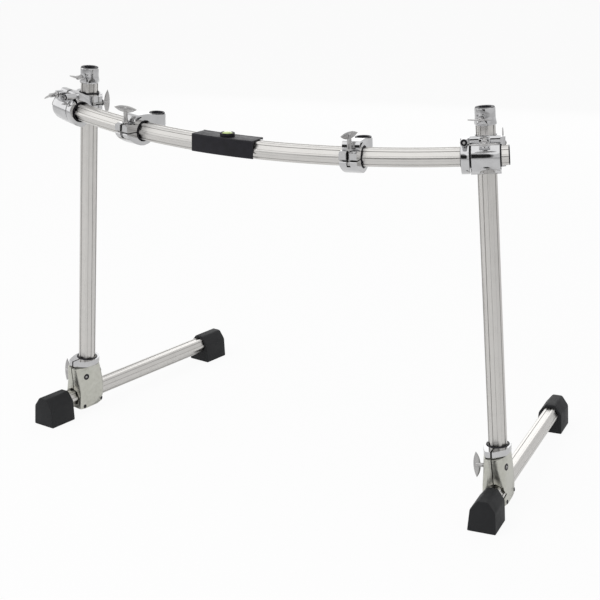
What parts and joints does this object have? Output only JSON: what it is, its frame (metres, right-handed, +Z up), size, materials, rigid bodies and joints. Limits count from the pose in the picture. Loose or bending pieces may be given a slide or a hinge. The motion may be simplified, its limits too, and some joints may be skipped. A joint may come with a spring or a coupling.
{
  "type": "drum rack frame",
  "caption": "Front drum rack: curved hexagonal bar on two leaning posts with split bases, floor bars, rubber feet and hinged clamps with sockets for drum arms.",
  "frame": {"origin": "on the floor, under the middle of the rack's box", "axes": "+X along the bar to the right as the rack is seen from its front, +Y from the front of the rack to its rear, +Z up"},
  "size_m": [1.227, 0.736, 0.8797],
  "materials": {
    "anodised_aluminium": "satin clear anodised, drawn along the tube",
    "chrome_castings": "polished chrome plate on die-cast zinc",
    "satin_castings": "satin nickel plate on die-cast zinc",
    "rubber_feet": "matte moulded rubber",
    "black_plastic": "satin moulded plastic",
    "level_lens": "clear domed lens over yellow-green liquid"
  },
  "bodies": {
    "bar": {"curved_bar": "anodised_aluminium", "bar_end_cap_left": "black_plastic", "bar_end_cap_right": "black_plastic", "badge_cover": "black_plastic", "level_lens": "level_lens"},
    "multi_clamp_left_slider": {"multi_clamp_left_bar_bush": "black_plastic"},
    "multi_clamp_left": {"multi_clamp_left_body": "chrome_castings", "multi_clamp_left_socket_bush": "black_plastic"},
    "multi_clamp_left_jaw": {"multi_clamp_left_jaw": "chrome_castings"},
    "multi_clamp_left_bolt": {"multi_clamp_left_swing_bolt": "chrome_castings"},
    "multi_clamp_left_nut": {"multi_clamp_left_wing_nut": "chrome_castings"},
    "multi_clamp_right_slider": {"multi_clamp_right_bar_bush": "black_plastic"},
    "multi_clamp_right": {"multi_clamp_right_body": "chrome_castings", "multi_clamp_right_socket_bush": "black_plastic"},
    "multi_clamp_right_jaw": {"multi_clamp_right_jaw": "chrome_castings"},
    "multi_clamp_right_bolt": {"multi_clamp_right_swing_bolt": "chrome_castings"},
    "multi_clamp_right_nut": {"multi_clamp_right_wing_nut": "chrome_castings"},
    "t_clamp_left": {"t_clamp_left_body": "chrome_castings"},
    "t_clamp_left_slider": {"t_clamp_left_bar_bush": "black_plastic", "bar_lock_ring_left": "chrome_castings"},
    "t_clamp_left_bar_jaw": {"t_clamp_left_bar_jaw": "chrome_castings"},
    "t_clamp_left_bar_bolt": {"t_clamp_left_bar_swing_bolt": "chrome_castings"},
    "t_clamp_left_bar_nut": {"t_clamp_left_bar_wing_nut": "chrome_castings"},
    "t_clamp_left_post_jaw": {"t_clamp_left_post_jaw": "chrome_castings"},
    "t_clamp_left_post_bolt": {"t_clamp_left_post_swing_bolt": "chrome_castings"},
    "t_clamp_left_post_nut": {"t_clamp_left_post_wing_nut": "chrome_castings"},
    "post_swivel_left": {"t_clamp_left_post_bush": "black_plastic"},
    "leg_left": {"post_left": "anodised_aluminium", "post_holder_left": "chrome_castings", "holder_insert_left": "black_plastic", "base_left_left_half": "satin_castings", "base_left_right_half": "satin_castings", "leg_lock_ring_left": "chrome_castings"},
    "holder_bolt_left": {"holder_wing_bolt_left": "chrome_castings"},
    "base_bolt_left": {"base_left_wing_bolt": "satin_castings"},
    "floor_bar_left": {"floor_bar_left": "anodised_aluminium", "front_foot_left": "rubber_feet", "rear_foot_left": "rubber_feet"},
    "t_clamp_right": {"t_clamp_right_body": "chrome_castings"},
    "t_clamp_right_slider": {"t_clamp_right_bar_bush": "black_plastic", "bar_lock_ring_right": "chrome_castings"},
    "t_clamp_right_bar_jaw": {"t_clamp_right_bar_jaw": "chrome_castings"},
    "t_clamp_right_bar_bolt": {"t_clamp_right_bar_swing_bolt": "chrome_castings"},
    "t_clamp_right_bar_nut": {"t_clamp_right_bar_wing_nut": "chrome_castings"},
    "t_clamp_right_post_jaw": {"t_clamp_right_post_jaw": "chrome_castings"},
    "t_clamp_right_post_bolt": {"t_clamp_right_post_swing_bolt": "chrome_castings"},
    "t_clamp_right_post_nut": {"t_clamp_right_post_wing_nut": "chrome_castings"},
    "post_swivel_right": {"t_clamp_right_post_bush": "black_plastic"},
    "leg_right": {"post_right": "anodised_aluminium", "post_holder_right": "chrome_castings", "holder_insert_right": "black_plastic", "base_right_left_half": "satin_castings", "base_right_right_half": "satin_castings", "leg_lock_ring_right": "chrome_castings"},
    "holder_bolt_right": {"holder_wing_bolt_right": "chrome_castings"},
    "base_bolt_right": {"base_right_wing_bolt": "satin_castings"},
    "floor_bar_right": {"floor_bar_right": "anodised_aluminium", "front_foot_right": "rubber_feet", "rear_foot_right": "rubber_feet"}
  },
  "joints": [
    {"name": "multi_clamp_left_slide", "type": "hinge", "parent": "bar", "child": "multi_clamp_left_slider", "pos_m": [0, 1.09144, 1.09902], "axis": [0, -0.2295, 0.9733], "range_deg": [-3.4, 5.2]},
    {"name": "multi_clamp_left_tilt", "type": "hinge", "parent": "multi_clamp_left_slider", "child": "multi_clamp_left", "pos_m": [-0.27973, -0.29631, 0.77174], "axis": [0.9813, -0.1874, -0.0442], "range_deg": [-75, 75]},
    {"name": "multi_clamp_left_jaw_hinge", "type": "hinge", "parent": "multi_clamp_left", "child": "multi_clamp_left_jaw", "pos_m": [-0.27393, -0.26382, 0.76275], "axis": [0.9813, -0.1874, -0.0442], "range_deg": [0, 6.78]},
    {"name": "multi_clamp_left_bolt_swing", "type": "hinge", "parent": "multi_clamp_left_jaw", "child": "multi_clamp_left_bolt", "pos_m": [-0.28754, -0.33554, 0.76475], "axis": [0.9813, -0.1874, -0.0442], "range_deg": [0, 90]},
    {"name": "multi_clamp_left_nut_travel", "type": "slide", "parent": "multi_clamp_left_bolt", "child": "multi_clamp_left_nut", "axis": [0.0434, -0.0083, 0.999], "range_m": [0, 0.01]},
    {"name": "multi_clamp_right_slide", "type": "hinge", "parent": "bar", "child": "multi_clamp_right_slider", "pos_m": [0, 1.09144, 1.09902], "axis": [0, -0.2295, 0.9733], "range_deg": [-7, 4.2]},
    {"name": "multi_clamp_right_tilt", "type": "hinge", "parent": "multi_clamp_right_slider", "child": "multi_clamp_right", "pos_m": [0.26479, -0.29908, 0.77109], "axis": [0.9833, 0.1774, 0.0418], "range_deg": [-75, 75]},
    {"name": "multi_clamp_right_jaw_hinge", "type": "hinge", "parent": "multi_clamp_right", "child": "multi_clamp_right_jaw", "pos_m": [0.2593, -0.26654, 0.76209], "axis": [0.9833, 0.1774, 0.0418], "range_deg": [0, 6.78]},
    {"name": "multi_clamp_right_bolt_swing", "type": "hinge", "parent": "multi_clamp_right_jaw", "child": "multi_clamp_right_bolt", "pos_m": [0.27218, -0.3384, 0.76409], "axis": [0.9833, 0.1774, 0.0418], "range_deg": [0, 90]},
    {"name": "multi_clamp_right_nut_travel", "type": "slide", "parent": "multi_clamp_right_bolt", "child": "multi_clamp_right_nut", "axis": [-0.0412, -0.0074, 0.9991], "range_m": [0, 0.01]},
    {"name": "t_clamp_left_slide", "type": "hinge", "parent": "bar", "child": "t_clamp_left_slider", "pos_m": [0, 1.09144, 1.09902], "axis": [0, -0.2295, 0.9733], "range_deg": [-0.5, 1.8]},
    {"name": "t_clamp_left_tilt", "type": "hinge", "parent": "t_clamp_left_slider", "child": "t_clamp_left", "pos_m": [-0.52189, -0.22839, 0.78776], "axis": [0.9333, -0.3496, -0.0824], "range_deg": [-20, 20]},
    {"name": "t_clamp_left_bar_jaw_hinge", "type": "hinge", "parent": "t_clamp_left", "child": "t_clamp_left_bar_jaw", "pos_m": [-0.52296, -0.22372, 0.75587], "axis": [0.9333, -0.3496, -0.0824], "range_deg": [0, 5.91]},
    {"name": "t_clamp_left_bar_bolt_swing", "type": "hinge", "parent": "t_clamp_left", "child": "t_clamp_left_bar_bolt", "pos_m": [-0.51927, -0.22938, 0.82164], "axis": [0.9333, -0.3496, -0.0824], "range_deg": [-55, 0]},
    {"name": "t_clamp_left_bar_nut_travel", "type": "slide", "parent": "t_clamp_left_bar_bolt", "child": "t_clamp_left_bar_nut", "axis": [-0.3508, -0.9365, 0], "range_m": [0, 0.008]},
    {"name": "t_clamp_left_post_jaw_hinge", "type": "hinge", "parent": "t_clamp_left", "child": "t_clamp_left_post_jaw", "pos_m": [-0.53515, -0.17003, 0.79048], "axis": [0.0772, -0.0289, 0.9966], "range_deg": [0, 5.88]},
    {"name": "t_clamp_left_post_bolt_swing", "type": "hinge", "parent": "t_clamp_left", "child": "t_clamp_left_post_bolt", "pos_m": [-0.47462, -0.20018, 0.79695], "axis": [-0.0772, 0.0289, -0.9966], "range_deg": [0, 75]},
    {"name": "t_clamp_left_post_nut_travel", "type": "slide", "parent": "t_clamp_left_post_bolt", "child": "t_clamp_left_post_nut", "axis": [0.3508, 0.9365, 0], "range_m": [0, 0.008]},
    {"name": "post_left_swivel", "type": "hinge", "parent": "t_clamp_left", "child": "post_swivel_left", "pos_m": [-0.50365, -0.1797, 0.78776], "axis": [0.0772, -0.0289, 0.9966], "range_deg": [-35, 35]},
    {"name": "post_left_height", "type": "slide", "parent": "post_swivel_left", "child": "leg_left", "axis": [0.0772, -0.0289, 0.9966], "range_m": [-0.004, 0.5]},
    {"name": "holder_left_wing_bolt_turn", "type": "hinge", "parent": "leg_left", "child": "holder_bolt_left", "pos_m": [-0.50141, -0.20885, 0.85798], "axis": [-0.1187, -0.9927, -0.0196], "continuous": true},
    {"name": "base_left_wing_bolt_turn", "type": "hinge", "parent": "leg_left", "child": "base_bolt_left", "pos_m": [-0.58601, -0.18457, 0.1052], "axis": [-0.9899, 0.1168, 0.0801], "continuous": true},
    {"name": "floor_bar_left_slide", "type": "slide", "parent": "leg_left", "child": "floor_bar_left", "axis": [0.1172, 0.9931, 0], "range_m": [-0.38, 0.022]},
    {"name": "t_clamp_right_slide", "type": "hinge", "parent": "bar", "child": "t_clamp_right_slider", "pos_m": [0, 1.09144, 1.09902], "axis": [0, -0.2295, 0.9733], "range_deg": [-1.8, 0.5]},
    {"name": "t_clamp_right_tilt", "type": "hinge", "parent": "t_clamp_right_slider", "child": "t_clamp_right", "pos_m": [0.52189, -0.22839, 0.78776], "axis": [0.9333, 0.3496, 0.0824], "range_deg": [-20, 20]},
    {"name": "t_clamp_right_bar_jaw_hinge", "type": "hinge", "parent": "t_clamp_right", "child": "t_clamp_right_bar_jaw", "pos_m": [0.52296, -0.22372, 0.75587], "axis": [0.9333, 0.3496, 0.0824], "range_deg": [0, 5.91]},
    {"name": "t_clamp_right_bar_bolt_swing", "type": "hinge", "parent": "t_clamp_right", "child": "t_clamp_right_bar_bolt", "pos_m": [0.51927, -0.22938, 0.82164], "axis": [0.9333, 0.3496, 0.0824], "range_deg": [-55, 0]},
    {"name": "t_clamp_right_bar_nut_travel", "type": "slide", "parent": "t_clamp_right_bar_bolt", "child": "t_clamp_right_bar_nut", "axis": [0.3508, -0.9365, 0], "range_m": [0, 0.008]},
    {"name": "t_clamp_right_post_jaw_hinge", "type": "hinge", "parent": "t_clamp_right", "child": "t_clamp_right_post_jaw", "pos_m": [0.47356, -0.19311, 0.78504], "axis": [-0.0772, -0.0289, 0.9966], "range_deg": [0, 5.88]},
    {"name": "t_clamp_right_post_bolt_swing", "type": "hinge", "parent": "t_clamp_right", "child": "t_clamp_right_post_bolt", "pos_m": [0.53715, -0.17676, 0.80248], "axis": [0.0772, 0.0289, -0.9966], "range_deg": [0, 75]},
    {"name": "t_clamp_right_post_nut_travel", "type": "slide", "parent": "t_clamp_right_post_bolt", "child": "t_clamp_right_post_nut", "axis": [-0.3508, 0.9365, 0], "range_m": [0, 0.008]},
    {"name": "post_right_swivel", "type": "hinge", "parent": "t_clamp_right", "child": "post_swivel_right", "pos_m": [0.50365, -0.1797, 0.78776], "axis": [-0.0772, -0.0289, 0.9966], "range_deg": [-35, 35]},
    {"name": "post_right_height", "type": "slide", "parent": "post_swivel_right", "child": "leg_right", "axis": [-0.0772, -0.0289, 0.9966], "range_m": [-0.004, 0.5]},
    {"name": "holder_right_wing_bolt_turn", "type": "hinge", "parent": "leg_right", "child": "holder_bolt_right", "pos_m": [0.50141, -0.20885, 0.85798], "axis": [0.1187, -0.9927, -0.0196], "continuous": true},
    {"name": "base_right_wing_bolt_turn", "type": "hinge", "parent": "leg_right", "child": "base_bolt_right", "pos_m": [0.53394, -0.19071, 0.10099], "axis": [-0.9899, -0.1168, -0.0801], "continuous": true},
    {"name": "floor_bar_right_slide", "type": "slide", "parent": "leg_right", "child": "floor_bar_right", "axis": [-0.1172, 0.9931, 0], "range_m": [-0.38, 0.022]}
  ],
  "couplings": [
    {"joint": "multi_clamp_left_jaw_hinge", "follows": "multi_clamp_left_nut_travel", "rad_per_m": 11.834},
    {"joint": "multi_clamp_right_jaw_hinge", "follows": "multi_clamp_right_nut_travel", "rad_per_m": 11.834},
    {"joint": "t_clamp_left_bar_jaw_hinge", "follows": "t_clamp_left_bar_nut_travel", "rad_per_m": 12.903},
    {"joint": "t_clamp_left_post_jaw_hinge", "follows": "t_clamp_left_post_nut_travel", "rad_per_m": 12.821},
    {"joint": "t_clamp_right_bar_jaw_hinge", "follows": "t_clamp_right_bar_nut_travel", "rad_per_m": 12.903},
    {"joint": "t_clamp_right_post_jaw_hinge", "follows": "t_clamp_right_post_nut_travel", "rad_per_m": 12.821}
  ]
}
